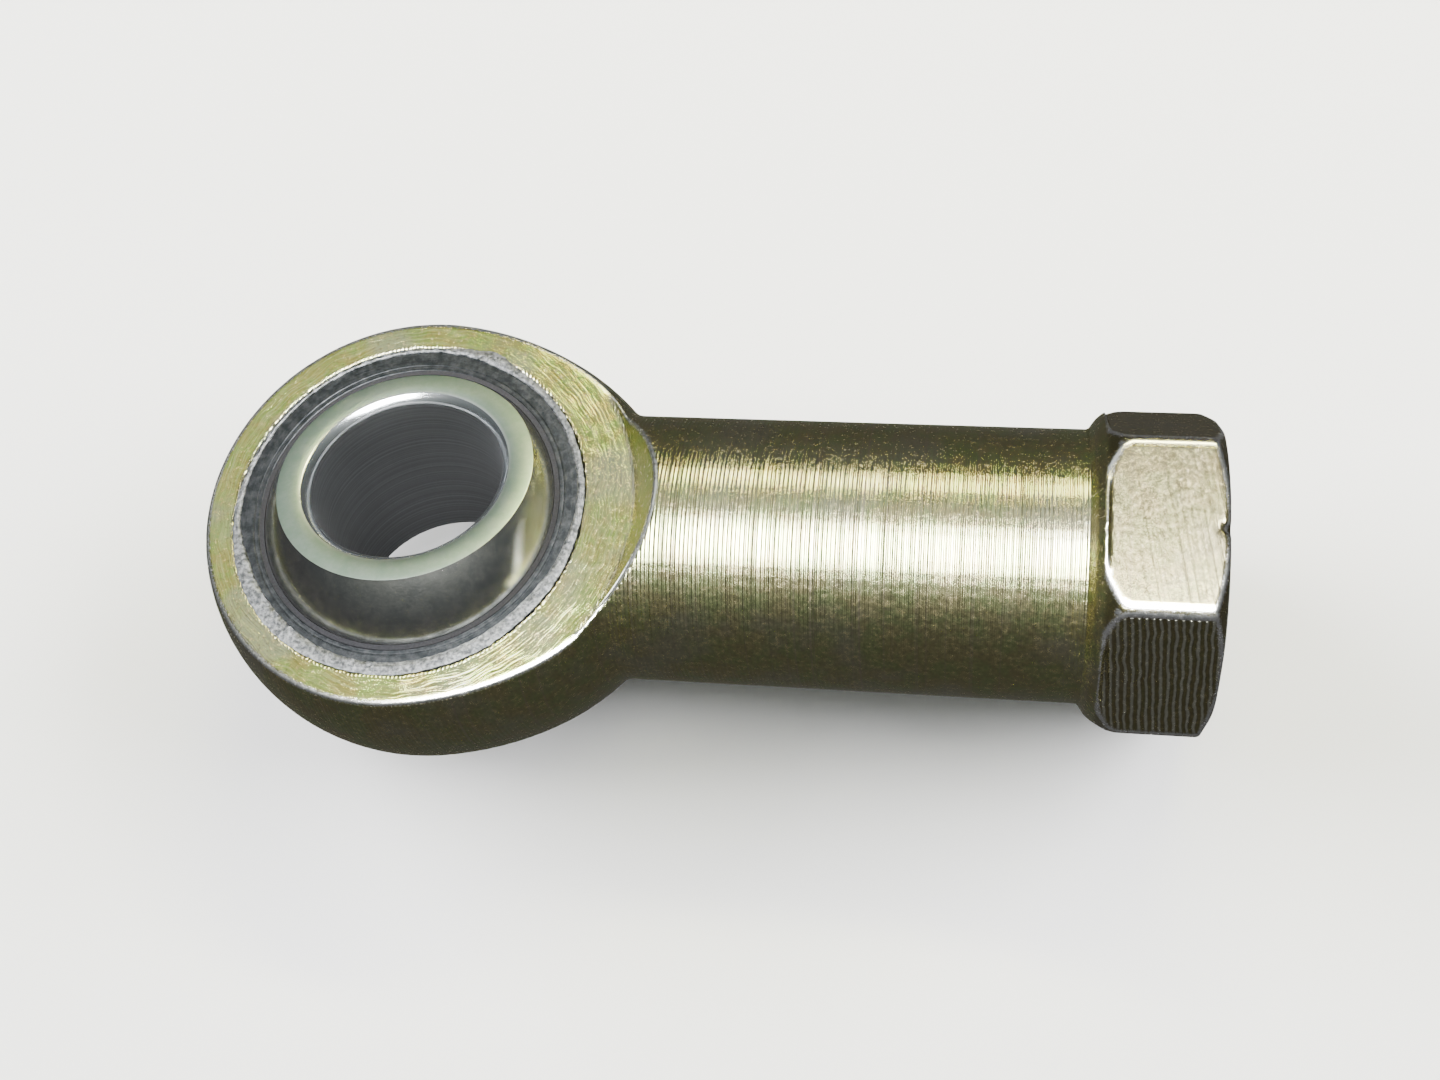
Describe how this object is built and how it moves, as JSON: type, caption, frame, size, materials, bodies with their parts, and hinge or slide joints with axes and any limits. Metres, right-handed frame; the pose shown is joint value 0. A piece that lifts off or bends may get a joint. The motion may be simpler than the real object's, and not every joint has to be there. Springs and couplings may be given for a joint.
{
  "type": "rod end bearing",
  "caption": "Female rod end with a spherical plain bearing in a rounded head, a long plain shank and a hexagonal threaded end.",
  "frame": {"origin": "centre of the spherical bearing", "axes": "+X along the shank towards the threaded end, +Z along the axis of the eye in the head"},
  "size_m": [0.1044, 0.0464, 0.0314],
  "materials": {
    "passivated_steel": "satin",
    "race_steel": "satin",
    "liner": "matte",
    "bearing_steel": "satin"
  },
  "bodies": {
    "housing": {"rod_end_body": "passivated_steel", "outer_race": "race_steel", "ptfe_liner": "liner"},
    "ring": {"inner_ring": "bearing_steel"}
  },
  "joints": [
    {"name": "ring_tilt", "type": "hinge", "parent": "housing", "child": "ring", "pos_m": [0, 0, 0], "axis": [1, 0, 0], "range_deg": [-2, 26]}
  ]
}
